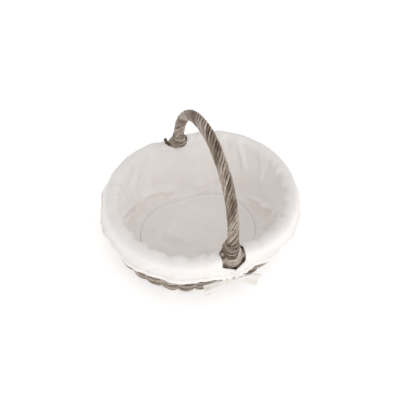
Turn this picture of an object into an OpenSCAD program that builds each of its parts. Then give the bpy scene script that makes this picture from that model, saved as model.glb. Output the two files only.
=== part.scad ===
// Oval lined willow basket with a fixed, roped bow handle.
// It stands on z = 0. X is the long way of the oval, and the handle stands in the plane x = 0,
// with its near foot at -Y and its far foot at +Y.

/* [Border] */
// Length between the middles of the rolled border at the two ends
rim_l = 304; // [260:2:400]
// Width between the middles of the rolled border at the two sides
rim_w = 245; // [200:1:256]
// Height of the middle of the border above the table
rim_h = 118; // [98:1:170]
// Diameter of the rolled border
border_d = 18; // [15:0.5:22]

/* [Wall] */
// Diameter of an upright stake
stake_d = 4.4; // [3:0.2:5.4]
// Radius of the bend that turns the stakes in to the base
bend_r = 56.5; // [46:0.5:68]
// Angle of that bend
bend_a = 71; // [58:1:76]
// Stakes round one end
end_stakes = 14; // [10:1:18]
// Stakes along one straight side
side_stakes = 2; // [2:2:4]
// Thickness of the woven skin on the outside of the stakes
weave_t = 5; // [4:0.2:6]
// How far the rods of a row bulge past the grooves between rows
row_bulge = 1.4; // [0.6:0.2:2]
// Rows of waling under the border
upper_rows = 2; // [1:1:4]
// Rows of plain weave between the two walings
middle_rows = 13; // [8:1:20]
// Rows of waling where the wall leaves the base
lower_rows = 2; // [1:1:4]
// Share of the wall's length that one waling takes
waling_share = 0.13; // [0.1:0.01:0.18]

/* [Base] */
// Radius of the ring of rods that the basket stands on
foot_r = 4.4; // [4.2:0.1:6]
// Height of the middle of that ring, which is flat underneath
foot_z = 4; // [3.6:0.1:4.1]
// Diameter of the thick sticks that cross the base
cross_stick_d = 5; // [4.6:0.1:5.4]
// Number of them
cross_sticks = 7; // [5:2:9]
// Diameter of the sticks that run the long way, through slits in the cross sticks
long_stick_d = 3; // [2.4:0.1:3.2]
// Number of them
long_sticks = 3; // [1:2:3]
// Spacing of the base sticks
stick_gap = 24; // [18:1:26]
// Thickness of the woven base
base_t = 6.4; // [6.2:0.1:7]

/* [Handle] */
// Height of the middle of the handle above the middle of the border
handle_h = 147; // [115:1:190]
// Diameter of the roped handle
handle_d = 18; // [15:0.5:21]
// Diameter of the bow, the thick rod inside the roping
bow_d = 10; // [8:0.5:11]
// How far inside the middle of the border the handle's legs stand
handle_in = 7; // [5:0.5:9]
// Height above the middle of the border where the straight legs end
leg_h = 25; // [22:1:34]
// How far the legs are pushed down inside the wall
leg_depth = 46; // [30:1:54]
// Radius of the fine collar where it meets the roping
collar_top_r = 11.8; // [11:0.2:14]
// Radius of the fine collar where it sits on the border
collar_foot_r = 15.6; // [14:0.2:18]
// Height of the fine collar
collar_h = 16; // [12:1:20]
// Thickness of the rods lashed round the border at each foot
lashing_t = 3.8; // [3:0.2:4.6]
// Width of the lashing along the border
lashing_w = 34; // [28:1:40]
// How far the lashing runs down outside, below the middle of the border
lashing_drop = 24; // [16:1:30]
// Diameter of the cut rod end that stands beside each foot
tail_d = 4; // [3:0.2:4.4]
// Length of that cut end
tail_l = 12; // [8:1:16]
// How far that cut end leans out
tail_lean = 20; // [0:1:30]

/* [Lining] */
// Thickness of the cotton
cloth_t = 1.6; // [1.2:0.1:2.2]
// Room between the cotton and the willow that it goes over
cloth_gap = 1.2; // [0.8:0.1:2]
// How far the cotton hangs down outside, below the middle of the border
overhang = 26; // [18:1:34]
// How far the hem stands out from the middle of the border
hem_out = 17; // [15:0.5:20]
// How far inside the middle of the stakes the bottom seam lies
seam_in = 8; // [6:0.5:13]
// Height of the bottom seam
seam_z = 19; // [18.5:0.5:24]
// Half the width of the slit at each foot of the handle
slit_w = 22; // [20:0.5:26]
// Radius of a tie's knot
knot_r = 7; // [5:0.5:8]
// Width of a tie
tie_w = 9; // [6:0.5:12]
// Length of a tie's free tail
tie_tail = 50; // [35:1:60]

/* [Hidden] */
$fn = 48;
gap = 0.3;              // clearance between neighbouring pieces
stick_slack = 0.15;     // clearance round a stick inside the weave
willow = "#8f8073";
dark_willow = "#6f6157";
pale_willow = "#a3937f";
cotton = "#ebe7e2";

// The oval is two half circles about (+-end_x, 0) joined by two straight sides.
end_r = rim_w / 2;
end_x = rim_l / 2 - end_r;
border_r = border_d / 2;

// The wall's line is the middle of a stake: straight down from the border, then in along the bend.
stake_foot_z = foot_z + foot_r + stake_d / 2 - 1;
bend_z = stake_foot_z + bend_r * sin(bend_a);
straight_l = rim_h - border_r - gap - bend_z;
wall_l = straight_l + bend_r * bend_a * PI / 180;
weave_in = stake_d / 2 + gap;
waling_l = wall_l * waling_share;
seam_off = bend_r * (1 - cos(asin((bend_z - seam_z) / bend_r))) + seam_in;   // in from the border's middle
foot_in = bend_r * (1 - cos(bend_a)) + 3;   // the foot ring's middle, in from the border's

base_z = foot_z - base_t / 2;
base_in = foot_in + foot_r + gap;
leg_y = rim_w / 2 - handle_in;
collar_z = rim_h + border_r + lashing_t + 2 * gap;
cloth_r = border_r + cloth_gap;
tie_y = rim_w / 2 + hem_out + cloth_t + gap;
knot_z = rim_h - overhang - knot_r - 3;
knot_y = tie_y + cloth_t / 2;
corner_z = rim_h - overhang + 8;

// ---- the oval ----

// The outline off mm outside the border's middle, as a solid plate.
module oval_plate(off, h) linear_extrude(h) {
    for (s = [-1, 1]) translate([s * end_x, 0]) circle(r = end_r + off, $fn = 96);
    square([2 * end_x, 2 * (end_r + off)], center = true);
}

// Sweep a profile, x out from the border's middle and y up, round one end, or along one side from x0 to x1.
module end_sweep() translate([end_x, 0, 0]) rotate([0, 0, -90])
    rotate_extrude(angle = 180, $fn = 96) translate([end_r, 0]) children();
module side_sweep(x0, x1) translate([x0, end_r, 0]) rotate([90, 0, 90]) linear_extrude(x1 - x0) children();

// The same sweep round the half of the oval with x above x0, and round the whole oval.
module half_ring(x0) {
    end_sweep() children();
    for (m = [0, 1]) mirror([0, m, 0]) side_sweep(x0, end_x) children();
}
module oval_ring() {
    for (m = [0, 1]) mirror([m, 0, 0]) end_sweep() children();
    for (m = [0, 1]) mirror([0, m, 0]) side_sweep(-end_x, end_x) children();
}

// ---- the wall ----

// A point of the wall, s mm down the stake from the border and off mm outside its middle.
function wall_pt(s, off) = let (a = max(0, s - straight_l) / bend_r * 180 / PI)
    [-bend_r + (bend_r + off) * cos(a), bend_z - (bend_r + off) * sin(a) + max(0, straight_l - s)];

// A band of woven rows on the outside of the stakes, each row bulging like the rod it is.
module weave_band(top, foot, rows) {
    step = (foot - top) / rows;
    outside = [for (k = [0 : rows - 1]) for (t = [0 : 0.25 : 0.75])
        wall_pt(top + (k + t) * step, weave_in + weave_t - row_bulge * (1 - sin(180 * t)))];
    last = [wall_pt(foot, weave_in + weave_t - row_bulge)];
    inside = [for (k = [rows : -1 : 0]) wall_pt(top + k * step, weave_in)];
    oval_ring() polygon(concat(outside, last, inside));
}

module stake() {
    translate([0, 0, bend_z]) cylinder(d = stake_d, h = straight_l);
    translate([-bend_r, 0, bend_z]) rotate([-90, 0, 0])
        rotate_extrude(angle = bend_a) translate([bend_r, 0]) circle(d = stake_d);
}

module stakes() color(willow) {
    end_step = 180 / end_stakes;
    side_step = 2 * end_x / side_stakes;
    for (turn = [0, 180]) rotate([0, 0, turn]) {
        for (i = [0 : end_stakes - 1]) translate([end_x, 0, 0])
            rotate([0, 0, -90 + (i + 0.5) * end_step]) translate([end_r, 0, 0]) stake();
        for (i = [0 : side_stakes - 1])
            translate([-end_x + (i + 0.5) * side_step, end_r, 0]) rotate([0, 0, 90]) stake();
    }
}

module upper_waling() color(willow) weave_band(gap, waling_l, upper_rows);
module side_weave() color(willow) weave_band(waling_l + gap, wall_l - waling_l, middle_rows);
module lower_waling() color(dark_willow) weave_band(wall_l - waling_l + gap, wall_l, lower_rows);

// The rolled border, with a notch on its inside for each leg of the handle.
module border() color(willow) difference() {
    oval_ring() translate([0, rim_h]) circle(d = border_d);
    for (s = [-1, 1]) translate([0, s * leg_y, rim_h - border_d]) cylinder(d = bow_d + gap, h = 2 * border_d);
}

// ---- the base ----

module cross_stick_set(slack) for (i = [0 : cross_sticks - 1])
    translate([(i - (cross_sticks - 1) / 2) * stick_gap, rim_w / 2, foot_z])
        rotate([90, 0, 0]) cylinder(d = cross_stick_d + 2 * slack, h = rim_w);

module long_stick_set(slack) for (i = [0 : long_sticks - 1])
    translate([-rim_l / 2, (i - (long_sticks - 1) / 2) * stick_gap, foot_z])
        rotate([0, 90, 0]) cylinder(d = long_stick_d + 2 * slack, h = rim_l);

module base_cross_sticks() color(dark_willow) difference() {
    intersection() {
        cross_stick_set(0);
        oval_plate(-base_in, border_d);
    }
    long_stick_set(stick_slack);
}

module base_long_sticks() color(dark_willow) intersection() {
    long_stick_set(0);
    oval_plate(-base_in, border_d);
}

module base_weave() color(willow) difference() {
    translate([0, 0, base_z]) oval_plate(-base_in, base_t);
    cross_stick_set(stick_slack);
    long_stick_set(stick_slack);
}

// The ring of rods under the base, cut flat where it stands on the table.
module foot_ring() color(dark_willow) oval_ring() intersection() {
    translate([-foot_in, foot_z]) circle(r = foot_r);
    translate([-foot_in - foot_r, 0]) square([2 * foot_r, 2 * foot_r]);
}

// ---- the handle ----

// The middle of the handle above its legs is half an ellipse. t runs from one leg, 0, to the other, 180.
arch_h = handle_h - leg_h;
arch_steps = 36;
round_sides = 16;
function arch_pt(t) = [0, leg_y * cos(t), rim_h + leg_h + arch_h * sin(t)];
function arch_dir(t) = let (d = [0, -leg_y * sin(t), arch_h * cos(t)]) d / norm(d);

// A solid round tube along the arch, from angle t0 to angle t1.
module arch_tube(r, t0, t1) {
    rings = [for (k = [0 : arch_steps]) let (t = t0 + (t1 - t0) * k / arch_steps, d = arch_dir(t))
        for (i = [0 : round_sides - 1]) let (a = 360 * i / round_sides)
            arch_pt(t) + r * [cos(a), -d[2] * sin(a), d[1] * sin(a)]];
    n = round_sides;
    sides = [for (k = [0 : arch_steps - 1]) for (i = [0 : n - 1])
        [k * n + i, k * n + (i + 1) % n, (k + 1) * n + (i + 1) % n, (k + 1) * n + i]];
    first = [for (i = [n - 1 : -1 : 0]) i];
    last = [for (i = [0 : n - 1]) arch_steps * n + i];
    polyhedron(rings, concat([first], sides, [last]));
}

module handle_bow() color(dark_willow) {
    arch_tube(bow_d / 2, 0, 180);
    for (s = [-1, 1]) translate([0, s * leg_y, rim_h - leg_depth]) cylinder(d = bow_d, h = leg_h + leg_depth);
}

// The roping starts above the collars. It is one sleeve with the outer size of the twisted rods.
roping_z = collar_z + collar_h + 0.15 * handle_d;   // clear of the collar where the arch leans
roping_t0 = asin(min(0.9, (roping_z - rim_h - leg_h) / arch_h));
module handle_roping() color(pale_willow) difference() {
    arch_tube(handle_d / 2, roping_t0, 180 - roping_t0);
    arch_tube(bow_d / 2 + gap, 0, 180);
}

// What goes round a foot is drawn at the near side, and turned half round for the far one.
module at_foot(far) rotate([0, 0, far ? 180 : 0]) children();

module collar(far) at_foot(far) color(dark_willow) difference() {
    translate([0, -leg_y, collar_z]) cylinder(r1 = collar_foot_r, r2 = collar_top_r, h = collar_h);
    translate([0, -leg_y, collar_z - 1]) cylinder(d = bow_d + 4 * gap, h = collar_h + 2);
}

// Rods lashed round the border, which run on down over the waling outside and stop short of it inside.
module lashing(far) at_foot(far) color(pale_willow) difference() {
    outer = border_r + gap + lashing_t;
    skin = weave_in + weave_t + gap;
    translate([-lashing_w / 2, -end_r, rim_h]) rotate([90, 0, -90]) mirror([0, 0, 1])
        linear_extrude(lashing_w) difference() {
            union() {
                circle(r = outer);
                translate([skin, -lashing_drop]) square([outer - skin, lashing_drop]);
            }
            circle(r = border_r + gap);
            translate([-outer, -border_r - lashing_drop]) square([outer + skin, lashing_drop]);
        }
    translate([0, -leg_y, rim_h - border_d]) cylinder(d = bow_d + 2 * gap, h = 2 * border_d);
}

// The cut end of a border rod, which sticks up beside a foot, on the same side at both.
module cut_end(far) mirror([0, far ? 1 : 0, 0]) color(dark_willow)
    translate([-(lashing_w + tail_d) / 2 - gap, -end_r, rim_h + border_r + tail_d / 2])
        rotate([tail_lean, 0, 0]) cylinder(d = tail_d, h = tail_l);

module near_collar() collar(false);
module far_collar() collar(true);
module near_lashing() lashing(false);
module far_lashing() lashing(true);
module near_cut_end() cut_end(false);
module far_cut_end() cut_end(true);

// ---- the lining ----

// One half of the lining: up from the bottom seam, over the border and down to the hem.
module lining_half() color(cotton) {
    over = [for (a = [180 : -10 : 0]) [(cloth_r + cloth_t) * cos(a), rim_h + (cloth_r + cloth_t) * sin(a)]];
    under = [for (a = [0 : 10 : 180]) [cloth_r * cos(a), rim_h + cloth_r * sin(a)]];
    seam = [[-seam_off - cloth_t, seam_z], [-seam_off, seam_z]];
    hem = [[hem_out + cloth_t, rim_h - overhang], [hem_out, rim_h - overhang]];
    difference() {
        half_ring(gap / 2) polygon(concat([seam[0]], over, hem, under, [seam[1]]));
        for (s = [-1, 1]) {
            // the slit that lets the handle's foot through, and its run down the overhang
            translate([-slit_w, s > 0 ? leg_y - slit_w : -rim_w, rim_h - border_r - lashing_t - 2])
                cube([2 * slit_w, rim_w - leg_y + slit_w, rim_h]);
            translate([-slit_w, s > 0 ? rim_w / 2 : -rim_w, rim_h - overhang - 1])
                cube([2 * slit_w, rim_w / 2, rim_h]);
        }
    }
}

module lining_right() lining_half();
module lining_left() mirror([1, 0, 0]) lining_half();

// The bottom panel: flat on the base, with its edge turned up to the seam.
panel_z = base_z + base_t + gap;
panel_in = base_in + 4;
module lining_bottom() color(cotton) {
    translate([0, 0, panel_z]) oval_plate(-panel_in, cloth_t);
    oval_ring() polygon([[-panel_in - 4, panel_z], [-panel_in, panel_z], [-seam_off - cloth_t, seam_z - 2 * cloth_t],
        [-seam_off - cloth_t, seam_z - gap], [-panel_in, panel_z + cloth_t], [-panel_in - 4, panel_z + cloth_t]]);
}

// A tie is a flat strip from a corner of the slit to the knot, and a free tail past it.
module strip(points) translate([0, -tie_y, 0]) rotate([90, 0, 0]) linear_extrude(cloth_t) polygon(points);

module tie_left(far) at_foot(far) color(cotton) {
    strip([[-slit_w - 8, corner_z], [-slit_w - 8, corner_z - tie_w], [-knot_r, knot_z - 2], [-knot_r, knot_z + 4]]);
    strip([[-knot_r, knot_z - 3], [-knot_r, knot_z - 7], [-tie_tail, knot_z - 7 - tie_w], [-tie_tail - 2, knot_z - 6]]);
}

module tie_right(far) at_foot(far) color(cotton) {
    strip([[slit_w + 8, corner_z], [slit_w + 8, corner_z - tie_w], [knot_r, knot_z - 2], [knot_r, knot_z + 4]]);
    strip([[knot_r, knot_z - 3], [knot_r - 2, knot_z - 8], [tie_tail * 0.75, knot_z - 0.8 * tie_tail],
        [tie_tail * 0.75 + tie_w, knot_z - 0.7 * tie_tail]]);
}

module tie_knot(far) at_foot(far) color(cotton) translate([0, -knot_y, knot_z]) sphere(r = knot_r - gap);

module near_tie_left() tie_left(false);
module near_tie_right() tie_right(false);
module near_tie_knot() tie_knot(false);
module far_tie_left() tie_left(true);
module far_tie_right() tie_right(true);
module far_tie_knot() tie_knot(true);

base_cross_sticks();
base_long_sticks();
base_weave();
foot_ring();
stakes();
lower_waling();
side_weave();
upper_waling();
border();
handle_bow();
handle_roping();
near_collar();
far_collar();
near_lashing();
far_lashing();
near_cut_end();
far_cut_end();
lining_left();
lining_right();
lining_bottom();
near_tie_left();
near_tie_right();
near_tie_knot();
far_tie_left();
far_tie_right();
far_tie_knot();
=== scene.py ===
"""Flower girl basket: washed willow, a roped handle and a tied cotton lining, built round its CAD frame."""
import math
import bmesh
import bpy
import numpy as np
from mathutils import Matrix, Vector


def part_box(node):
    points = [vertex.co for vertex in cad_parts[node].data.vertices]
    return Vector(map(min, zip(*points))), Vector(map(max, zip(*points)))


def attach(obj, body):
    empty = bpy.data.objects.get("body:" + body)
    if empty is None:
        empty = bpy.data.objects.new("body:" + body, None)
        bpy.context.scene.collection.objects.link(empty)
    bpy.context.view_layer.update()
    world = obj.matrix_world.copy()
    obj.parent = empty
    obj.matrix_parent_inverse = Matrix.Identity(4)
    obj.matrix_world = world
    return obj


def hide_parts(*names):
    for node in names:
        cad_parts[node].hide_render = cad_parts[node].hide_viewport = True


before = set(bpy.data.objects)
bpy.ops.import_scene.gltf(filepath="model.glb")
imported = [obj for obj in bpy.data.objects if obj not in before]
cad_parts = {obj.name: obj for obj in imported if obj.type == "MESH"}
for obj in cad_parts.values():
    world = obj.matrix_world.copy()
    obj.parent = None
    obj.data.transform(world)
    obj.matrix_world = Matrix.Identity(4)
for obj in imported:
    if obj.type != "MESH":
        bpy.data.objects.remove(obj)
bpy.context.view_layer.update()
MM = 0.001
TAU = 2 * math.pi


def new_object(name, data):
    """A new object in the scene, at the origin."""
    ob = bpy.data.objects.new(name, data)
    bpy.context.collection.objects.link(ob)
    return ob


def run_along(points):
    """The way along a line of points, 0 at its first."""
    return np.concatenate([[0], np.cumsum(np.linalg.norm(np.diff(points, axis=0), axis=1))])


# ---------------------------------------------------------------- sizes, from the frame

def middle(node):
    lo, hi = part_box(node)
    return (lo + hi) / 2, hi - lo


rim_at, rim_size = middle("border")
border_r = rim_size.z / 2
rim_z = rim_at.z
end_r = rim_size.y / 2 - border_r            # radius of the oval's two ends, to the middle of the border
end_x = rim_size.x / 2 - border_r - end_r    # where the ends' centres lie
stake_d = 4.4 * MM
bend_r = 56.5 * MM
bend_a = math.radians(71)
foot_r = 4.4 * MM
foot_z = 4 * MM
bend_z = foot_z + foot_r + stake_d / 2 - MM + bend_r * math.sin(bend_a)
straight_l = rim_z - border_r - 0.3 * MM - bend_z
wall_l = straight_l + bend_r * bend_a
waling_l = 0.13 * wall_l
foot_in = bend_r * (1 - math.cos(bend_a)) + 3 * MM
leg_y = end_r - 7 * MM
collar_lo, collar_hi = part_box("near_collar")
collar_z, collar_top = collar_lo.z, collar_hi.z
lash_lo, lash_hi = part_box("near_lashing")
knot_at = middle("near_tie_knot")[0]
arch_z = 143 * MM
arch_h = 122 * MM
STAKES = 32                                  # u counts stake spacings round the oval, from the near middle


def oval(u, off):
    """The point x, y that lies off outside the border's middle at u, and the outward direction there."""
    u = np.mod(np.asarray(u, float), STAKES)
    turn = np.radians(np.interp(u, [0, 1, 15, 17, 31, 32], [-90, -90, 90, 90, 270, 270]))
    cx = np.interp(u, [0, 1, 15, 17, 31, 32], [0, end_x, end_x, -end_x, -end_x, 0])
    out = np.stack([np.cos(turn), np.sin(turn)], -1)
    at = out * (end_r + np.asarray(off))[..., None]
    at[..., 0] += cx
    return at, out


def wall(u, s, off=0.0):
    """A point of the wall s down a stake from the border and off outside it, with its outward and upward
    directions."""
    u, s, off = np.broadcast_arrays(np.asarray(u, float), np.asarray(s, float), np.asarray(off, float))
    a = np.maximum(0, s - straight_l) / bend_r
    x = -bend_r + (bend_r + off) * np.cos(a)
    z = bend_z - (bend_r + off) * np.sin(a) + np.maximum(0, straight_l - s)
    at, out = oval(u, x)
    ca, sa = np.cos(a)[..., None], np.sin(a)[..., None]
    point = np.concatenate([at, z[..., None]], -1)
    outward = np.concatenate([out * ca, -sa], -1)
    upward = np.concatenate([out * sa, ca], -1)
    return point, outward, upward


def smooth(x, a, b):
    t = np.clip((np.asarray(x, float) - a) / (b - a), 0, 1)
    return t * t * (3 - 2 * t)


class Wander:
    """A smooth random curve of mean 0 and size about 1, the same on every run."""

    def __init__(self, seed, wave, terms=5):
        rng = np.random.default_rng(seed)
        self.f = TAU / wave * rng.uniform(0.55, 1.6, terms)
        self.p = rng.uniform(0, TAU, terms)
        self.a = rng.uniform(0.6, 1, terms)
        self.a /= math.sqrt((self.a ** 2).sum() / 2)

    def __call__(self, x):
        x = np.asarray(x, float)[..., None]
        return (self.a * np.sin(self.f * x + self.p)).sum(-1)


# ---------------------------------------------------------------- camera, light and floor

def camera():
    """Looks down into the basket from the front left, a little rolled."""
    az, el, roll = math.radians(-27.33), math.radians(52.77), math.radians(6.48)
    distance = 0.990                          # from the middle of the rim
    back = Vector((math.sin(az) * math.cos(el), -math.cos(az) * math.cos(el), math.sin(el)))
    side = Vector((math.cos(az), math.sin(az), 0))
    up = back.cross(side)
    right = side * math.cos(roll) + up * math.sin(roll)
    up = back.cross(right)
    cam = bpy.data.cameras.new("camera")
    cam.lens, cam.sensor_width = 53.53, 36
    cam.shift_x, cam.shift_y = -0.0064, -0.0102
    cam.clip_end = 20
    ob = new_object("camera", cam)
    turn = Matrix((right, up, back)).transposed().to_4x4()
    ob.matrix_world = Matrix.Translation(Vector((0, 0, rim_z)) + back * distance) @ turn
    bpy.context.scene.camera = ob


def hex_rgb(code):
    """An sRGB hex colour as linear red, green, blue and alpha."""
    c = [int(code[i:i + 2], 16) / 255 for i in (1, 3, 5)]
    return tuple(v / 12.92 if v <= 0.04045 else ((v + 0.055) / 1.055) ** 2.4 for v in c) + (1,)


def add(tree, kind, inputs=None, **settings):
    """Adds a node with its settings. An input is a value or another node's output socket."""
    node = tree.nodes.new(kind)
    for k, v in settings.items():
        setattr(node, k, v)
    for k, v in (inputs or {}).items():
        if isinstance(v, bpy.types.NodeSocket):
            tree.links.new(v, node.inputs[k])
        else:
            node.inputs[k].default_value = v
    return node


def studio():
    """White paper floor, even light from all round and one soft light from the front."""
    scene = bpy.context.scene
    scene.view_settings.view_transform = "Standard"
    world = bpy.data.worlds.new("studio")
    world.use_nodes = True
    world.node_tree.nodes["Background"].inputs["Color"].default_value = (1, 1, 1, 1)
    world.node_tree.nodes["Background"].inputs["Strength"].default_value = 0.69
    scene.world = world

    def softbox(name, at, aim, size, watts):
        light = bpy.data.lights.new(name, "AREA")
        light.shape, light.size, light.energy = "DISK", size, watts
        turn = (Vector(aim) - Vector(at)).to_track_quat("-Z", "Y").to_matrix().to_4x4()
        new_object(name, light).matrix_world = Matrix.Translation(at) @ turn

    softbox("softbox_front", (0.25, -1.50, 1.05), (0, 0, 0.1), 1.4, 6.3)
    me = bpy.data.meshes.new("floor")
    s = 6.0
    me.from_pydata([(-s, -s, 0), (s, -s, 0), (s, s, 0), (-s, s, 0)], [], [(0, 1, 2, 3)])
    floor = new_object("floor", me)
    mat = bpy.data.materials.new("white_paper")
    mat.use_nodes = True
    b = mat.node_tree.nodes["Principled BSDF"]
    b.inputs["Base Color"].default_value = hex_rgb("#fbfbfb")
    b.inputs["Roughness"].default_value = 0.9
    b.inputs["Specular IOR Level"].default_value = 0.1
    b.inputs["Emission Color"].default_value = (1, 1, 1, 1)
    b.inputs["Emission Strength"].default_value = 0.45
    me.materials.append(mat)


# ---------------------------------------------------------------- materials

def new_material(name):
    mat = bpy.data.materials.new(name)
    mat.use_nodes = True
    tree = mat.node_tree
    return mat, tree, tree.nodes["Principled BSDF"]


def willow(name, deep, low, mid, high, rough=0.55, on_rods=True):
    """Whole willow rod, dried with its bark off, then washed grey. The grain runs along the rod as fine
    streaks, each rod has its own tone, buds leave small dark scars and the pale wash stays unevenly on the
    skin."""
    mat, tree, shader = new_material(name)
    if on_rods:
        # run is the way along the rod in metres, skin the place round it
        skin = add(tree, "ShaderNodeAttribute", attribute_name="skin").outputs["Vector"]
        run = add(tree, "ShaderNodeAttribute", attribute_name="run").outputs["Fac"]
        tone = add(tree, "ShaderNodeAttribute", attribute_name="tone").outputs["Fac"]
        far = add(tree, "ShaderNodeMath", {0: tone, 1: 9.7, 2: run}, operation="MULTIPLY_ADD").outputs[0]
        lane = add(tree, "ShaderNodeVectorMath", {0: skin, 1: (2 * MM, 2 * MM, 0)},
                   operation="MULTIPLY").outputs[0]
        along = add(tree, "ShaderNodeCombineXYZ", {"Z": far}).outputs[0]
        place = add(tree, "ShaderNodeVectorMath", {0: lane, 1: along}, operation="ADD").outputs[0]
        stretch = (1, 1, 0.045)
    else:
        place = add(tree, "ShaderNodeTexCoord").outputs["Object"]
        tone = add(tree, "ShaderNodeTexNoise", {"Vector": place, "Scale": 11.0,
                "Detail": 0.0}).outputs["Fac"]
        stretch = (1, 1, 0.06)
    grain_at = add(tree, "ShaderNodeMapping", {"Vector": place, "Scale": stretch}).outputs[0]
    # grain streaks about 0.7 mm wide, drawn coarser than the real 0.2 mm so that they show
    grain = add(tree, "ShaderNodeTexNoise", {"Vector": grain_at, "Scale": 1300.0, "Detail": 3.0,
                                             "Roughness": 0.6}).outputs["Fac"]
    # the wash lies in patches 6 to 20 mm long
    patch = add(tree, "ShaderNodeTexNoise", {"Vector": place, "Scale": 90.0, "Detail": 3.0,
                                             "Roughness": 0.65}).outputs["Fac"]
    scars = add(tree, "ShaderNodeTexVoronoi", {"Vector": place, "Scale": 48.0, "Randomness": 1.0},
                distance="EUCLIDEAN").outputs["Distance"]
    scar = add(tree, "ShaderNodeMapRange", {"Value": scars, "From Min": 0.045, "From Max": 0.10,
                                            "To Min": 1.0, "To Max": 0.0}).outputs[0]
    mixed = add(tree, "ShaderNodeMath", {0: grain, 1: 0.62, 2: 0.0}, operation="MULTIPLY_ADD")
    worn_part = add(tree, "ShaderNodeMath", {0: patch, 1: 0.5, 2: mixed.outputs[0]},
                    operation="MULTIPLY_ADD").outputs[0]
    value = add(tree, "ShaderNodeMath", {0: tone, 1: 0.42, 2: worn_part},
                operation="MULTIPLY_ADD").outputs[0]
    ramp = add(tree, "ShaderNodeValToRGB", {"Fac": value})
    ends = ramp.color_ramp.elements
    ends[0].position, ends[0].color = 0.42, hex_rgb(deep)
    ends[1].position, ends[1].color = 1.05, hex_rgb(high)
    for at, code in ((0.62, low), (0.80, mid)):
        ends.new(at).color = hex_rgb(code)
    scarred = add(tree, "ShaderNodeMix", {0: scar, 6: ramp.outputs["Color"], 7: hex_rgb(deep)},
                  data_type="RGBA").outputs[2]
    tree.links.new(scarred, shader.inputs["Base Color"])
    shader.inputs["Roughness"].default_value = rough
    shader.inputs["Specular IOR Level"].default_value = 0.35
    height = add(tree, "ShaderNodeMath", {0: scar, 1: -0.8, 2: grain}, operation="MULTIPLY_ADD").outputs[0]
    bump = add(tree, "ShaderNodeBump", {"Height": height, "Strength": 0.35,
                                        "Distance": 0.4 * MM}).outputs[0]
    tree.links.new(bump, shader.inputs["Normal"])
    return mat


def cut_willow(name):
    """The sawn end of a willow rod: pale wood, speckled with its pores."""
    mat, tree, shader = new_material(name)
    place = add(tree, "ShaderNodeTexCoord").outputs["Object"]
    spots = add(tree, "ShaderNodeTexNoise", {"Vector": place, "Scale": 900.0, "Detail": 2.0}).outputs["Fac"]
    ramp = add(tree, "ShaderNodeValToRGB", {"Fac": spots})
    ramp.color_ramp.elements[0].position, ramp.color_ramp.elements[0].color = 0.35, hex_rgb("#8a7d72")
    ramp.color_ramp.elements[1].position, ramp.color_ramp.elements[1].color = 0.65, hex_rgb("#b8aca0")
    tree.links.new(ramp.outputs["Color"], shader.inputs["Base Color"])
    shader.inputs["Roughness"].default_value = 0.8
    return mat


def calico(name, code, dim):
    """Washed cotton calico in plain weave: matt, warm white, with thick slub threads and a soft nap."""
    mat, tree, shader = new_material(name)
    uv = add(tree, "ShaderNodeUVMap", uv_map="cloth").outputs["UV"]
    # the real threads lie 0.35 mm apart, drawn 0.9 mm apart so that the weave just shows
    # and a wave texture of scale 1 runs through 20 radians in each metre
    step = 0.9 * MM
    bands = [add(tree, "ShaderNodeTexWave", {"Vector": uv, "Scale": TAU / step / 20, "Distortion": 1.2,
                                             "Detail": 1.0,
                 "Detail Scale": 0.6}, bands_direction=d).outputs["Fac"] for d in "XY"]
    weave = add(tree, "ShaderNodeMath", {0: bands[0], 1: bands[1]}, operation="MULTIPLY").outputs[0]
    slub_at = [add(tree, "ShaderNodeMapping", {"Vector": uv, "Scale": s}).outputs[0] for s in ((1, 0.05,
            1), (0.05, 1, 1))]
    slubs = [add(tree, "ShaderNodeTexNoise", {"Vector": v, "Scale": 700.0,
                                              "Detail": 2.0}).outputs["Fac"] for v in slub_at]
    slub = add(tree, "ShaderNodeMath", {0: slubs[0], 1: slubs[1]}, operation="ADD").outputs[0]
    cloud = add(tree, "ShaderNodeTexNoise", {"Vector": uv, "Scale": 26.0, "Detail": 3.0}).outputs["Fac"]
    look = add(tree, "ShaderNodeMath", {0: slub, 1: 0.35, 2: cloud}, operation="MULTIPLY_ADD").outputs[0]
    ramp = add(tree, "ShaderNodeValToRGB", {"Fac": look})
    ramp.color_ramp.elements[0].position, ramp.color_ramp.elements[0].color = 0.45, hex_rgb(dim)
    ramp.color_ramp.elements[1].position, ramp.color_ramp.elements[1].color = 1.0, hex_rgb(code)
    tree.links.new(ramp.outputs["Color"], shader.inputs["Base Color"])
    shader.inputs["Roughness"].default_value = 0.92
    shader.inputs["Specular IOR Level"].default_value = 0.15
    shader.inputs["Sheen Weight"].default_value = 0.12
    shader.inputs["Sheen Roughness"].default_value = 0.6
    high = add(tree, "ShaderNodeMath", {0: slub, 1: 0.5, 2: weave}, operation="MULTIPLY_ADD").outputs[0]
    rise = add(tree, "ShaderNodeBump", {"Height": high, "Strength": 0.5, "Distance": 0.12 * MM}).outputs[0]
    tree.links.new(rise, shader.inputs["Normal"])
    return mat


def cotton_thread(name):
    """Sewing thread of the lining's own white, a touch glossier than the cloth so that each stitch catches
    the light."""
    mat, _, shader = new_material(name)
    shader.inputs["Base Color"].default_value = hex_rgb("#ece6e1")
    shader.inputs["Roughness"].default_value = 0.6
    return mat


# ---------------------------------------------------------------- rods: one node tree for all of them

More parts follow.
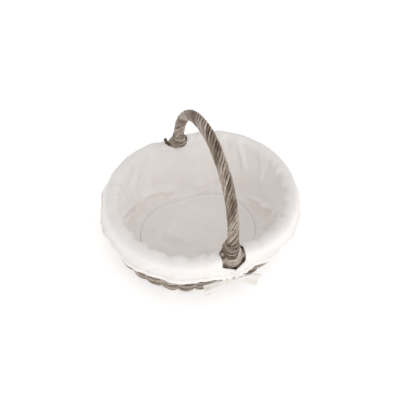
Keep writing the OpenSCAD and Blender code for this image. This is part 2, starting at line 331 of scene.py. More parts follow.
def rod_tree():
    """Sweeps round rods along guide lines. A guide's points carry out and rise, the two directions a rod
    may swing in, and turn, how many turns it has made. Rods share the turn between them, as in waling or
    roping."""
    tree = bpy.data.node_groups.new("laid_rods", "GeometryNodeTree")
    face = tree.interface
    face.new_socket("Geometry", in_out="OUTPUT", socket_type="NodeSocketGeometry")
    face.new_socket("Geometry", in_out="INPUT", socket_type="NodeSocketGeometry")
    for name, kind, plain in (
            ("Rods", "Int", 1), ("Rod Radius", "Float", 0.002), ("Reach", "Float", 0.0),
            ("Rise", "Float", 0.0),
            ("Squareness", "Float", 0.0), ("Wobble", "Float", 0.0), ("Wobble Length", "Float", 0.03),
            ("Uneven", "Float", 0.08),
            ("Sides", "Int", 10), ("Seed", "Int", 1)):
        face.new_socket(name, in_out="INPUT", socket_type="NodeSocket" + kind).default_value = plain
    face.new_socket("Material", in_out="INPUT", socket_type="NodeSocketMaterial")
    get = add(tree, "NodeGroupInput").outputs
    lines = add(tree, "GeometryNodeMeshToCurve", {"Mesh": get["Geometry"]}).outputs[0]
    copies = add(tree, "GeometryNodeDuplicateElements", {"Geometry": lines, "Amount": get["Rods"]},
                 domain="SPLINE").outputs
    value = {socket.name: socket for socket in get if socket.type in ("VALUE", "INT")}
    value["copy"] = copies["Duplicate Index"]
    value["run"] = add(tree, "GeometryNodeSplineParameter").outputs["Length"]
    for name in ("lot", "turn", "thick", "spread", "shade"):
        value[name] = add(tree, "GeometryNodeInputNamedAttribute", {"Name": name},
                          data_type="FLOAT").outputs["Attribute"]

    # the swing: each step names its result, the operation and the two values that it takes
    for name, operation, a, b in (
            ("share", "DIVIDE", "copy", "Rods"), ("turns", "ADD", "turn", "share"),
            ("angle", "MULTIPLY", "turns", TAU),
            ("cosine", "COSINE", "angle", 0.0), ("sine", "SINE", "angle", 0.0),
            # squareness holds a rod out against the stake for longer and lets it cross faster between them
            ("cosine2", "MULTIPLY", "cosine", "cosine"), ("slack", "SUBTRACT", 1.0001, "Squareness"),
            ("firm2", "ADD", "cosine2", "slack"), ("firm", "SQRT", "firm2", 0.0),
            ("swung", "DIVIDE", "cosine", "firm"),
            ("top2", "SUBTRACT", 2.0001, "Squareness"), ("top", "SQRT", "top2", 0.0),
            ("swing", "MULTIPLY", "swung", "top"),
            # a number of its own for each rod, from which its wobble, thickness and tone are drawn
            ("of_copy", "MULTIPLY", "copy", 7.31), ("of_line", "MULTIPLY", "lot", 3.17),
            ("of_both", "ADD", "of_copy", "of_line"),
            ("of_seed", "MULTIPLY", "Seed", 1.93), ("own", "ADD", "of_both", "of_seed"),
            ("bends", "DIVIDE", "run", "Wobble Length"), ("own_way", "MULTIPLY", "own", 17.0),
            ("way", "ADD", "bends", "own_way"),
            ("out way", "ADD", "way", 0.0), ("rise way", "ADD", "way", 531.7),
            ("thick draw", "ADD", "own", 0.5), ("tone draw", "ADD", "own", 40.5)):
        value[name] = add(tree, "ShaderNodeMath", {0: value.get(a, a), 1: value.get(b, b)},
                          operation=operation).outputs[0]
    for name in ("out", "rise"):
        value[name + " noise"] = add(tree, "ShaderNodeTexNoise",
                                     {"W": value[name + " way"], "Scale": 1.0, "Detail": 1.0},
                                     noise_dimensions="1D").outputs["Fac"]
    for name in ("thick", "tone"):
        value[name + " dice"] = add(tree, "ShaderNodeTexWhiteNoise", {"W": value[name + " draw"]},
                                    noise_dimensions="1D").outputs["Value"]
    for name, operation, a, b in (
            ("wobble2", "MULTIPLY", "Wobble", 2.0),
            ("nudge_out", "SUBTRACT", "out noise", 0.5), ("shift_out", "MULTIPLY", "nudge_out", "wobble2"),
            ("nudge_up", "SUBTRACT", "rise noise", 0.5), ("shift_up", "MULTIPLY", "nudge_up", "wobble2"),
            ("reach", "MULTIPLY", "Reach", "spread"), ("reached", "MULTIPLY", "swing", "reach"),
            ("out", "ADD", "reached", "shift_out"),
            ("height", "MULTIPLY", "Rise", "spread"), ("raised", "MULTIPLY", "sine", "height"),
            ("rise", "ADD", "raised", "shift_up"),
            ("radius", "MULTIPLY", "Rod Radius", "thick"), ("odd", "SUBTRACT", "thick dice", 0.5),
            ("odds", "MULTIPLY", "Uneven", "odd"), ("grown", "ADD", 1.0, "odds"),
            ("thickness", "MULTIPLY", "radius", "grown"),
            ("rod tone", "MULTIPLY", "tone dice", 0.75), ("line tone", "MULTIPLY", "shade", 0.25),
            ("tone", "ADD", "rod tone", "line tone")):
        value[name] = add(tree, "ShaderNodeMath", {0: value.get(a, a), 1: value.get(b, b)},
                          operation=operation).outputs[0]

    ways = []
    for name in ("out", "rise"):
        axis = add(tree, "GeometryNodeInputNamedAttribute", {"Name": name},
                   data_type="FLOAT_VECTOR").outputs["Attribute"]
        ways.append(add(tree, "ShaderNodeVectorMath", {0: axis, "Scale": value[name]},
                        operation="SCALE").outputs[0])
    offset = add(tree, "ShaderNodeVectorMath", {0: ways[0], 1: ways[1]}, operation="ADD").outputs[0]
    kept = add(tree, "GeometryNodeSetPosition", {"Geometry": copies["Geometry"],
            "Offset": offset}).outputs[0]
    for name in ("thickness", "run", "tone"):
        kept = add(tree, "GeometryNodeStoreNamedAttribute",
                   {"Geometry": kept, "Name": name, "Value": value[name]},
                   data_type="FLOAT", domain="POINT").outputs[0]
    ring = add(tree, "GeometryNodeCurvePrimitiveCircle", {"Resolution": get["Sides"], "Radius": 1.0},
               mode="RADIUS").outputs[0]
    skin = add(tree, "GeometryNodeInputPosition").outputs[0]
    ring = add(tree, "GeometryNodeStoreNamedAttribute", {"Geometry": ring, "Name": "skin", "Value": skin},
               data_type="FLOAT_VECTOR", domain="POINT").outputs[0]
    scale = add(tree, "GeometryNodeInputNamedAttribute", {"Name": "thickness"},
                data_type="FLOAT").outputs["Attribute"]
    geometry = add(tree, "GeometryNodeCurveToMesh", {"Curve": kept, "Profile Curve": ring, "Scale": scale,
                   "Fill Caps": True}).outputs[0]
    for kind in ("SetShadeSmooth", "RealizeInstances"):
        geometry = add(tree, "GeometryNode" + kind, {"Geometry": geometry}).outputs[0]
    done = add(tree, "GeometryNodeSetMaterial", {"Geometry": geometry,
            "Material": get["Material"]}).outputs[0]
    add(tree, "NodeGroupOutput", {0: done})
    return tree


def made_of_nodes(name, lines, tree, **values):
    """Runs a tree on guide lines with the named inputs and keeps the result as a plain mesh object."""
    ob = new_object(name + "_guide", guide(name + "_guide", lines))
    mod = ob.modifiers.new("nodes", "NODES")
    mod.node_group = tree
    ids = {s.name.replace(" ", "_").lower(): s.identifier for s in tree.interface.items_tree
           if getattr(s, "in_out", "") == "INPUT"}
    for k, v in values.items():
        mod[ids[k]] = v
    graph = bpy.context.evaluated_depsgraph_get()
    out = bpy.data.meshes.new_from_object(ob.evaluated_get(graph), preserve_all_data_layers=True,
                                          depsgraph=graph)
    out.name = name
    bpy.data.objects.remove(ob)
    return new_object(name, out)


def guide(name, lines):
    """A mesh of open or closed lines. Each line is a dict: at, its points, and where they differ from the
    plain values, out, rise, turn, thick, spread and shade, as one value or one for each point."""
    at, edges, data = [], [], {k: [] for k in ("out", "rise", "turn", "thick", "spread", "shade", "lot")}
    for i, line in enumerate(lines):
        n, start = len(line["at"]), sum(len(a) for a in at)
        at.append(np.asarray(line["at"]))
        run = np.arange(n - 1) + start
        edges.append(np.stack([run, run + 1], -1))
        if line.get("closed"):
            edges.append(np.array([[start + n - 1, start]]))
        for k in ("out", "rise"):
            data[k].append(np.broadcast_to(np.asarray(line.get(k, (0, 0, 1)), float), (n, 3)))
        for k, plain in (("turn", 0.0), ("thick", 1.0), ("spread", 1.0), ("shade", 0.5)):
            data[k].append(np.broadcast_to(np.asarray(line.get(k, plain), float), (n,)))
        data["lot"].append(np.full(n, float(line.get("lot", i))))
    mesh = bpy.data.meshes.new(name)
    mesh.from_pydata(np.concatenate(at).tolist(), np.concatenate(edges).tolist(), [])
    for k, v in data.items():
        v = np.concatenate(v)
        vector = v.ndim == 2
        attr = mesh.attributes.new(k, "FLOAT_VECTOR" if vector else "FLOAT", "POINT")
        attr.data.foreach_set("vector" if vector else "value", v.astype(np.float32).ravel())
    return mesh


def finish_piece(ob, *nodes, slot=None):
    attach(ob, "root")
    if nodes:
        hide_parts(*nodes)
    return ob


# ---------------------------------------------------------------- the willow wall

PER_STAKE = 10


def woven_row(s, phase, period, seed, spans=6.5, wave=0.8 * MM, taper=0.3):
    """The guide of one row round the wall at s. The rods of a row are pieced: each tapers from butt to tip
    and the next begins behind a stake, so thickness and tone step there."""
    n = STAKES * PER_STAKE
    u = np.arange(n) / PER_STAKE
    sway = Wander(seed, 5.3)
    sag = wave * sway(np.sin(TAU * u / STAKES) * 5.1) * 0.6
    at, outward, upward = wall(u, s + sag)
    rng = np.random.default_rng(seed)
    piece = np.mod(u + rng.uniform(0, STAKES), STAKES) / spans
    part = piece - np.floor(piece)
    thick = 1 + taper * (0.5 - part) * (1 - smooth(part, 0.93, 1.0))
    tones = rng.uniform(0, 1, 12)
    shade = tones[np.floor(piece).astype(int) % 12]
    spread = 1 + 0.16 * Wander(seed + 50, 3.1)(np.sin(TAU * u / STAKES) * 5.1)
    return dict(at=at, out=outward, rise=upward, turn=(u - 0.5) / period + phase, thick=thick, shade=shade,
                spread=spread, closed=True, lot=seed)


def side_rows(top, foot, rows):
    """The middles of rows that share the wall evenly from top to foot."""
    return [top + (foot - top) * (k + 0.5) / rows for k in range(rows)]


def build_wall(tree, grey, dark):
    """The side weave, one rod in front of a stake and behind the next, and the four-rod walings above and
    below."""
    heights = side_rows(waling_l + 0.3 * MM, wall_l - waling_l, 13)
    rows = [woven_row(s, 0.5 * (k % 2), 2, 100 + k) for k, s in enumerate(heights)]
    weave = made_of_nodes("willow_side_weave", rows, tree, rods=1, rod_radius=2.95 * MM, reach=3.7 * MM,
        squareness=0.2, wobble=0.7 * MM, wobble_length=0.04, uneven=0.16, sides=10, seed=3, material=grey)
    finish_piece(weave, "side_weave", slot="willow")
    for name, node, top, foot, mat, seed in (
            ("willow_upper_waling", "upper_waling", 0.3 * MM, waling_l, grey, 11),
            ("willow_lower_waling", "lower_waling", wall_l - waling_l + 0.3 * MM, wall_l, dark, 12)):
        rows = [woven_row(s, 0.375, 4, seed * 10 + k, spans=9.5) for k,
                s in enumerate(side_rows(top, foot, 2))]
        wale = made_of_nodes(name, rows, tree, rods=4, rod_radius=1.95 * MM, reach=4.4 * MM,
            rise=1.8 * MM, squareness=0.6, wobble=0.15 * MM, wobble_length=0.05, uneven=0.12, sides=8,
            seed=seed, material=mat)
        finish_piece(wale, node, slot="willow")


def ring_guide(off, z, turns, seed):
    """The closed guide of rods twisted round the oval, off outside the border's middle."""
    n = 384
    u = np.arange(n) * STAKES / n
    at, out = oval(u, np.full(n, off))
    pts = np.concatenate([at, np.full((n, 1), z)], -1)
    outs = np.concatenate([out, np.zeros((n, 1))], -1)
    return dict(at=pts, out=outs, turn=u / STAKES * turns, closed=True, lot=seed)


def build_border(tree, grey, dark):
    """The six-rod border round the rim and the three-rod ring that the basket stands on."""
    border = made_of_nodes("willow_border", [ring_guide(0.0, rim_z, 14, 1)], tree,
        rods=6, rod_radius=3.1 * MM, reach=5.6 * MM, rise=5.6 * MM, wobble=0.3 * MM,
        wobble_length=0.06, uneven=0.1, sides=10, seed=21, material=grey)
    finish_piece(border, "border", slot="willow")
    foot = made_of_nodes("willow_foot_ring", [ring_guide(-foot_in, foot_z, 26, 2)], tree,
        rods=3, rod_radius=2.15 * MM, reach=2.2 * MM, rise=1.75 * MM,
        wobble_length=0.05, uneven=0.06, sides=8, seed=22, material=dark)
    finish_piece(foot, "foot_ring", slot="willow")


# ---------------------------------------------------------------- the base

def build_base(tree, mat):
    """Rounds of thin rods woven over and under the sticks, from the base's middle to the foot ring."""
    edge = end_r - (foot_in + foot_r + 0.3 * MM)
    stick_gap = 24 * MM
    lines = []
    rounds, inner, n = 19, 2.5 * MM, 192
    for k in range(rounds):
        r = inner + (edge - 2.2 * MM - inner) * k / (rounds - 1)
        at, out = oval(np.arange(n) * STAKES / n, np.full(n, r - end_r))
        # over one stick and under the next, both where the sticks lie along y and where they lie along x
        across = np.cos(math.pi * at[:, 0] / stick_gap)
        lengthways = np.cos(math.pi * at[:, 1] / stick_gap + math.pi / 2)
        steep = np.abs(out[:, 1])
        swing = (across * steep + lengthways * (1 - steep)) * (1 if k % 2 else -1)
        pts = np.concatenate([at, (foot_z + 1.2 * MM * swing)[:, None]], -1)
        lines.append(dict(at=pts, out=np.concatenate([out, np.zeros((n, 1))], -1), closed=True, lot=k))
    weave = made_of_nodes("willow_base_weave", lines, tree, rods=1, rod_radius=1.95 * MM, wobble=0.2 * MM,
                          wobble_length=0.04, uneven=0.2, sides=8, seed=31, material=mat)
    finish_piece(weave, "base_weave", slot="willow")


# ---------------------------------------------------------------- the handle

def arch(t):
    """A point of the handle's middle at t, 0 at the near leg and 1 at the far one, and its direction."""
    a = math.pi * (1 - np.asarray(t, float))
    at = np.stack([np.zeros_like(a), leg_y * np.cos(a), arch_z + arch_h * np.sin(a)], -1)
    way = np.stack([np.zeros_like(a), leg_y * np.sin(a), -arch_h * np.cos(a)], -1)
    return at, way / np.linalg.norm(way, axis=-1, keepdims=True)


def build_handle(tree, mat):
    """The rods of the roping, laid side by side in a ring round the bow and twisted all the way over."""
    lay, ring_r = 87 * MM, 6.95 * MM          # the length of one full turn, and where the rods' middles lie
    # the rods start inside the collar
    t0 = math.asin((collar_top - 3 * MM - arch_z) / arch_h) / math.pi
    n = 220
    t = np.linspace(t0, 1 - t0, n)
    at, way = arch(t)
    side = np.tile([1.0, 0, 0], (n, 1))
    lift = np.cross(way, side)
    run = run_along(at)
    lines = [dict(at=at, out=side, rise=lift, turn=run / lay, lot=5)]
    roping = made_of_nodes("willow_handle_roping", lines, tree, rods=11, rod_radius=1.74 * MM,
        reach=ring_r, rise=ring_r, wobble=0.35 * MM, wobble_length=0.05, uneven=0.28, sides=12,
        seed=41, material=mat)
    finish_piece(roping, "handle_roping", slot="willow_roping")


# ---------------------------------------------------------------- the lining

cloth = 0.8 * MM                      # half the CAD cloth's thickness: the sheet lies in its middle
roll_r = border_r + 1.2 * MM + cloth
hem_z, hem_out = rim_z - 26 * MM, 17 * MM + cloth
hem_w = 9 * MM                        # width of the turned hem
lap = 8 * MM                          # how far the halves lap below each foot and up the wall
stitch_l, stitch_gap = 3.0 * MM, 1.4 * MM
seam_at = (-47 * MM, 10.9 * MM)       # the bottom seam: offset from the border's middle and height
perimeter = 4 * end_x + TAU * end_r
half_way = perimeter / 2


def smooth_line(points, n):
    """n evenly spaced points on a smooth line through the given ones."""
    p = np.asarray(points, float)
    p = np.concatenate([[2 * p[0] - p[1]], p, [2 * p[-1] - p[-2]]])
    t = np.linspace(0, 1, 24, endpoint=False)[:, None]
    out = []
    for a, b, c, d in zip(p[:-3], p[1:-2], p[2:-1], p[3:]):
        square, cube = 2 * a - 5 * b + 4 * c - d, 3 * b - a - 3 * c + d
        out.append(0.5 * (2 * b + (c - a) * t + square * t ** 2 + cube * t ** 3))
    q = np.concatenate(out + [p[-2:-1]])
    run = run_along(q)
    at = np.linspace(0, run[-1], n)
    return np.stack([np.interp(at, run, q[:, k]) for k in range(q.shape[1])], -1)


def lining_profile(n_wall, n_roll, n_flap):
    """The lining's cut from under the bottom panel up, over the border and down to the hem: offset, height
    and way."""
    tuck = 8 * MM                                         # how far the wall's edge reaches under the panel
    up = smooth_line([(seam_at[0] - tuck, seam_at[1] - 2.8 * MM), (seam_at[0], seam_at[1] - 1 * MM),
                      (-39.9 * MM, 15.6 * MM), (-33.8 * MM, 21.4 * MM), (-30.1 * MM, 29.2 * MM),
                      (-27.2 * MM, 41 * MM), (-18.6 * MM, 82 * MM), (-roll_r, rim_z)], n_wall + 1)[:-1]
    b = np.linspace(math.pi, 0, n_roll, endpoint=False)
    over = np.stack([roll_r * np.cos(b), rim_z + roll_r * np.sin(b)], -1)
    c = np.linspace(0, 1, n_flap)
    down = np.stack([roll_r + (hem_out - roll_r) * c, rim_z + (hem_z - rim_z) * c], -1)
    p = np.concatenate([up, over, down])
    run = run_along(p)
    way = np.gradient(p, run, axis=0)
    normal = np.stack([-way[:, 1], way[:, 0]], -1)        # into the basket on the wall, up on the border
    normal /= np.linalg.norm(normal, axis=1, keepdims=True)
    return p, run, normal


# the grid of a half: the rows up the wall, over the border and down the overhang, and the columns
wall_rows, roll_rows, flap_rows = 60, 18, 18
lining_columns = 330
profile, profile_run, profile_normal = lining_profile(wall_rows, roll_rows, flap_rows)
wall_run, roll_end, hem_run = profile_run[wall_rows], profile_run[wall_rows + roll_rows], profile_run[-1]


def sheet_object(name, pts, uv, mat, thickness=0.7 * MM, closed=False):
    """A grid of points as a cloth piece, with its UV map in metres."""
    nu, nv = pts.shape[:2]
    idx = np.arange(nu * nv).reshape(nu, nv)
    a = idx if not closed else np.concatenate([idx, idx[:1]], 0)
    faces = np.stack([a[:-1, :-1], a[1:, :-1], a[1:, 1:], a[:-1, 1:]], -1).reshape(-1, 4).tolist()
    at, uv = pts.reshape(-1, 3), uv.reshape(-1, 2)
    if closed:                                            # a fan of triangles closes the middle
        faces += [(int(i), int(j), nu * nv) for j, i in zip(idx[:, 0], np.roll(idx[:, 0], -1))]
        at, uv = np.concatenate([at, [pts[:, 0].mean(0)]]), np.concatenate([uv,
                [uv.reshape(nu, nv, 2)[:, 0].mean(0)]])
    me = bpy.data.meshes.new(name)
    me.from_pydata(at.tolist(), [], faces)
    layer = me.uv_layers.new(name="cloth")
    loops = np.empty(len(me.loops), int)
    me.loops.foreach_get("vertex_index", loops)
    layer.data.foreach_set("uv", uv[loops].astype(np.float32).ravel())
    me.polygons.foreach_set("use_smooth", [True] * len(me.polygons))
    me.materials.append(mat)
    ob = new_object(name, me)
    mod = ob.modifiers.new("cloth_thickness", "SOLIDIFY")
    mod.thickness, mod.offset = thickness, 0
    return ob


def u_of_run(run):
    """u at a way along the border's middle line from the near middle."""
    marks = np.cumsum([0, end_x, math.pi * end_r, 2 * end_x, math.pi * end_r, end_x])
    return np.interp(np.mod(run, perimeter), marks, [0, 1, 15, 17, 31, 32])


def crease(A, S, a0, s0, a1, s1, width, height, tuck=0.0):
    """The lift of one fold that runs from a0, s0 to a1, s1 on the cloth and fades at both ends. With tuck
    the fold is pushed over to one side, as a pleat is."""
    d = np.array([a1 - a0, s1 - s0])
    length = np.linalg.norm(d)
    d /= length
    t = ((A - a0) * d[0] + (S - s0) * d[1]) / length
    q = ((A - a0) * -d[1] + (S - s0) * d[0]) / width
    fade = smooth(t, -0.25, 0.25) * (1 - smooth(t, 0.75, 1.25))
    return height * fade * (np.exp(-q * q) + tuck * q * np.exp(-q * q) * 2)


# The folds that catch the eye, listed one by one. Each runs between two places on its half, given as the
# share of the way round from the half's first foot and the share of the way up its wall. Then its width and
# lift in mm, and how far it is pushed over to one side.
FOLDS = {
    "right": (
        ((0.95, 0.25), (0.87, 0.29), 5, 6.0, 0.9),        # a short tuck at the foot of the far wall
        ((0.99, 0.27), (0.92, 0.36), 11, 3.4, 0.4),
        ((0.72, 1.00), (0.67, 0.66), 7, 3.4, 0.6),
        # two gathers that hang from the border behind the handle
        ((0.62, 1.00), (0.58, 0.62), 7, 3.0, -0.6),
        ((0.58, 0.24), (0.45, 0.40), 6, 5.6, -0.9),
        # the long crease that climbs to the deep hollow at the end
        ((0.45, 0.40), (0.37, 0.66), 6, 6.0, -0.9),
        ((0.50, 0.34), (0.41, 0.56), 8, 3.0, 0.3),
        ((0.34, 0.84), (0.30, 0.36), 7, 6.0, 0.9),
        ((0.27, 0.78), (0.24, 0.40), 8, 5.0, 0.6),
        ((0.40, 0.95), (0.36, 0.72), 8, 3.0, 0.5),
    ),
    "left": (
        ((0.44, 0.84), (0.25, 0.46), 6, 7.0, 0.9),      # two sharp folds that fall across the left end
        ((0.43, 0.66), (0.24, 0.28), 6, 6.5, 0.9),
        ((0.25, 0.44), (0.10, 0.40), 7, 5.5, 0.8),
        # the cloth slackens in a crescent along the far wall
        ((0.12, 0.40), (0.00, 0.26), 8, 5.2, 0.7),
        ((0.52, 0.50), (0.53, 0.26), 8, -2.4, 0.3),
        ((0.59, 0.74), (0.57, 0.36), 10, 2.6, 0.3),
    ),
}
SLACK_FOLDS = 11            # smaller folds of each half, at random places


def stitches(line):
    """Guides of a running stitch along a line of points: each stitch is a short thread, bowed off the
    cloth."""
    run = run_along(line)
    out = []
    for start in np.arange(2 * MM, run[-1] - 4 * MM, stitch_l + stitch_gap):
        at = [np.interp(start + stitch_l * t, run, line[:, k]) for t in (0, 0.5, 1) for k in range(3)]
        out.append(dict(at=np.reshape(at, (3, 3))))
    return out


def slit(S, D, side):
    """How open the slit at a foot of the handle is, 0 to 1, and how far it pushes the cloth aside. It is
    shut up the wall, open round the leg and the lashing, and drawn together again under the foot."""
    open_ = np.sqrt(smooth(S, wall_run + 0.5 * MM, wall_run + 9 * MM))
    beside = 4.5 * MM if side == "left" else 1 * MM        # the cut ends stick up on the left
    widening = 0.62 + 0.38 * smooth(S, wall_run + 3 * MM, wall_run + 15 * MM)
    round_foot = (lash_hi.x + beside) * widening + lap
    drawn = smooth(S, roll_end + 3 * MM, roll_end + 17 * MM)
    edge = round_foot * open_ * (1 - drawn) + (lap - 2 * MM) * drawn
    return open_, edge * (1 - smooth(D, -lap, 62 * MM))


def wall_lift(A, S, side, seed):
    """How far a half's slack and folds stand off its wall."""
    sewn = smooth(S, 9 * MM, 17 * MM)                      # nothing lifts at the bottom seam
    mid = smooth(S, 14 * MM, 44 * MM) * (1 - smooth(S, wall_run - 34 * MM, wall_run))
    low = sewn * (1 - smooth(S, 20 * MM, 66 * MM))
    lean = 0.3 * S + 4 * MM * Wander(seed + 20, 47 * MM)(S)
    lift = low * 0.35 * MM * Wander(seed, 24 * MM)(A + 0.4 * lean)
    lift += low * 1.8 * MM * (1 + 0.6 * Wander(seed + 1, 90 * MM)(A))
    lift += mid * 1.6 * MM * Wander(seed + 10, 66 * MM)(A + lean)
    lift += mid * 0.3 * MM * Wander(seed + 30, 30 * MM)(A - lean)
    for (a0, s0), (a1, s1), w, h, tuck in FOLDS[side]:
        lift += sewn * crease(A, S, a0 * half_way, s0 * wall_run, a1 * half_way, s1 * wall_run, w * MM,
                              h * MM, tuck)
    rng = np.random.default_rng(seed + 70)
    for k in range(SLACK_FOLDS):
        a0 = (k + rng.uniform(0.2, 0.8)) / SLACK_FOLDS * half_way
        s0, length = rng.uniform(0.35, 0.95) * wall_run, rng.uniform(20, 50) * MM
        lift += sewn * crease(A, S, a0, s0, a0 + rng.uniform(-0.5, 0.5) * length, s0 - length,
                              rng.uniform(9, 15) * MM, rng.uniform(-1.5, 2.2) * MM, rng.uniform(-0.4, 0.4))
    # the willow behind stops the cloth from sinking back
    stop, soft = -0.8 * MM, 0.4 * MM
    return stop + soft * np.logaddexp(0, (lift - stop) / soft)


def overhang_lift(A, S, D, side, seed, open_, lift):
    """Adds the pleats over the inner edge, the bagging over the border and the waves of the overhang."""
    # both halves meet smoothly where they lap below the foot
    shut = 1 - (1 - open_) * np.exp(-(np.maximum(D - 2 * MM, 0) / (15 * MM)) ** 2)
    lift = lift * shut
    at_edge = np.exp(-((S - wall_run - 1 * MM) / (12 * MM)) ** 2)
    pleat = Wander(seed + 40, 44 * MM)(A + 0.25 * S) + 0.4 * Wander(seed + 41, 21 * MM)(A - 0.3 * S)
    lift += shut * at_edge * 1.2 * MM * (pleat + 0.5)
    top = np.exp(-((S - (wall_run + roll_end) / 2) / (16 * MM)) ** 2)
    lift += top * (0.7 * MM * Wander(seed + 45, 48 * MM)(A) + 0.7 * MM)
    flap = smooth(S, roll_end - 8 * MM, hem_run)
    wave, fine = Wander(seed + 50, 60 * MM)(A), Wander(seed + 51, 23 * MM)(A + 0.5 * S)
    lift += flap * (1.3 * MM * wave + 0.5 * MM * fine + 0.8 * MM)
    # round the foot of the handle the cloth stands off the lashing
    lift += 3.6 * MM * np.exp(-(D / (17 * MM)) ** 2) * np.exp(-((S - wall_run + 3 * MM) / (13 * MM)) ** 2)
    # at the lap the left half lies behind the right one
    if side == "left":
        lift = lift - 0.8 * MM * (1 - smooth(D, 0, 14 * MM))
    else:
        lift = lift - 0.55 * MM * (1 - smooth(D, -lap, -0.3 * lap)) * (1 - open_)
    # cords of slack run from the knot up and out over the overhang
    fan = np.exp(-(np.maximum(D, 0) / (34 * MM)) ** 2) * flap
    lift += fan * 1.2 * MM * np.cos(TAU * (D / (11 * MM) + 0.6 * (S - roll_end) / (26 * MM)))
    # the turned hem is a second layer of cloth
    return lift + 0.7 * MM * smooth(S, hem_run - hem_w - 0.8 * MM, hem_run - hem_w + 0.6 * MM)


def build_lining(mat, tree, thread):
    """Each half runs from one foot of the handle round an end to the other foot. Above the border it is
    slit at the feet, and the corners of the overhang draw together below the foot to be tied. Up the wall
    the right half laps the left."""
    for side, start, seed in (("right", 0.0, 7), ("left", half_way, 8)):
        along = np.linspace(-lap, half_way + lap, lining_columns)
        away = np.minimum(along, half_way - along)         # distance from the nearer foot of the handle
        A, S = np.meshgrid(along, profile_run, indexing="ij")
        D = np.meshgrid(away, profile_run, indexing="ij")[0]
        open_, push = slit(S, D, side)
        u = u_of_run(np.where(A < half_way / 2, A + push, A - push) + start)
        lift = overhang_lift(A, S, D, side, seed, open_, wall_lift(A, S, side, seed))
        # the corners hang lower and further out under the foot
        under_foot = np.exp(-(np.maximum(D, 0) / (26 * MM)) ** 2) * smooth(S, roll_end - 4 * MM, hem_run)
        hem_dip = (1.6 * MM * Wander(seed + 60, 95 * MM)(A) - 2.9 * MM) * smooth(S, roll_end, hem_run)
        off = profile[:, 0] + profile_normal[:, 0] * lift + under_foot * 2.0 * MM
        z = profile[:, 1] + profile_normal[:, 1] * lift - under_foot * 9 * MM - hem_dip
        pts = np.concatenate([oval(u, off)[0], z[..., None]], -1)
        ob = sheet_object("cotton_lining_" + side, pts, np.stack([A, S], -1), mat)
        finish_piece(ob, "lining_" + side, slot="cotton")
        row = np.argmin(np.abs(profile_run - (hem_run - hem_w + 1.2 * MM)))
        outward = np.pad(oval(u[:, row], 0 * u[:, row])[1], ((0, 0), (0, 1)))
        seam = made_of_nodes("cotton_hem_stitches_" + side, stitches(pts[:, row] + outward * 0.55 * MM),
                             tree, rods=1,
            rod_radius=0.32 * MM, wobble_length=0.03, uneven=0.2, sides=5, seed=seed, material=thread)
        finish_piece(seam, slot="cotton")


def build_bottom(mat):
    """The oval bottom panel: flat on the base, rising to the seam round its edge, softly wrinkled."""
    nr, nu = 64, 240
    z0 = 9.1 * MM
    edge = end_r + seam_at[0] + 0.6 * MM
    flat = edge - 6 * MM
    grow = np.linspace(0.01, 1, nr)
    U, r = np.meshgrid(np.arange(nu) / nu * STAKES, grow, indexing="ij")
    xy, out = oval(U, np.zeros_like(U))
    rad = edge * r
    pts = (xy - out * end_r) * np.sqrt(r)[..., None] + out * rad[..., None]
    x, y = pts[..., 0], pts[..., 1]
    z = z0 + (seam_at[1] + 0.4 * MM - z0) * smooth(rad, flat, edge)
    calm = 1 - smooth(rad, edge - 12 * MM, edge)
    ripple = Wander(61, 70 * MM)(x * 0.8 + y * 0.6 + 9 * MM * Wander(62, 60 * MM)(y))
    ripple = ripple * Wander(64, 80 * MM)(x * 0.4 - y * 0.9)
    z = z + calm * 0.7 * MM * np.abs(ripple)
    # soft wrinkles, as shares of the panel's half length and half width, then width, lift and tuck
    for (x0, y0), (x1, y1), w, h, tuck in (
            ((-0.60, 0.20), (-0.27, -0.27), 8, 3.6, 0.6), ((-0.38, 0.05), (-0.07, -0.37), 9, 2.8, 0.5),
            ((-0.18, -0.55), (0.20, -0.62), 9, 3.2, 0.5), ((0.18, 0.12), (0.54, -0.20), 12, 0.9, 0.2),
            ((-0.76, -0.08), (-0.56, -0.45), 8, 1.6, 0.4), ((-0.45, -0.65), (-0.18, -0.82), 7, 1.6, 0.5)):
        z = z + calm * crease(x, y, x0 * (edge + end_x), y0 * edge, x1 * (edge + end_x), y1 * edge,
                              w * MM, h * MM, tuck)
    swollen = smooth(rad, flat - 6 * MM, edge - 2 * MM) * (1 - smooth(rad, edge - 2 * MM, edge))
    z += 0.6 * MM * swollen * (1 + Wander(63, 2.2)(np.sin(TAU * U / STAKES) * 6))
    ob = sheet_object("cotton_lining_bottom", np.concatenate([pts, np.maximum(z, z0)[..., None]], -1),
                      np.stack([x, y], -1), mat, closed=True)
    finish_piece(ob, "lining_bottom", slot="cotton")


# ---------------------------------------------------------------- the feet of the handle

def bundle(turn, z, swell=1.0, mid_in=0.0):
    """The outside of the wound foot at a turn round it, 0 to the right and a quarter turn on from there
    inwards. It swells from the handle down over the border and draws in under it. swell scales it about its
    middle."""
    marks = [lash_lo.z, lash_lo.z + 7 * MM, rim_z - 7 * MM, rim_z, rim_z + 6 * MM, collar_z + 2 * MM,
             collar_top]
    lash_half, collar_half = lash_hi.x, (collar_hi.x - collar_lo.x) / 2
    scale = np.array([lash_half] * 5 + [collar_half] * 2)
    half = np.interp(z, marks, scale * [0.66, 0.85, 0.94, 0.96, 0.91, 0.76, 0.57])
    deep = np.interp(z, marks, scale * [0.45, 0.66, 0.88, 0.92, 0.92, 0.80, 0.57])
    back = np.interp(z, [lash_lo.z, rim_z, collar_z + 2 * MM], [end_r, end_r - 2.5 * MM, leg_y])
    a = TAU * np.asarray(turn, float)
    y = -back + mid_in + swell * deep * np.sin(a)
    cloth_y = np.interp(z, [rim_z, rim_z + 9 * MM, collar_top],
                        [roll_r - end_r - 1.5 * MM, roll_r - end_r + 1 * MM, 0])
    return np.stack([swell * half * np.cos(a), np.minimum(y, cloth_y), z + 0 * a], -1)


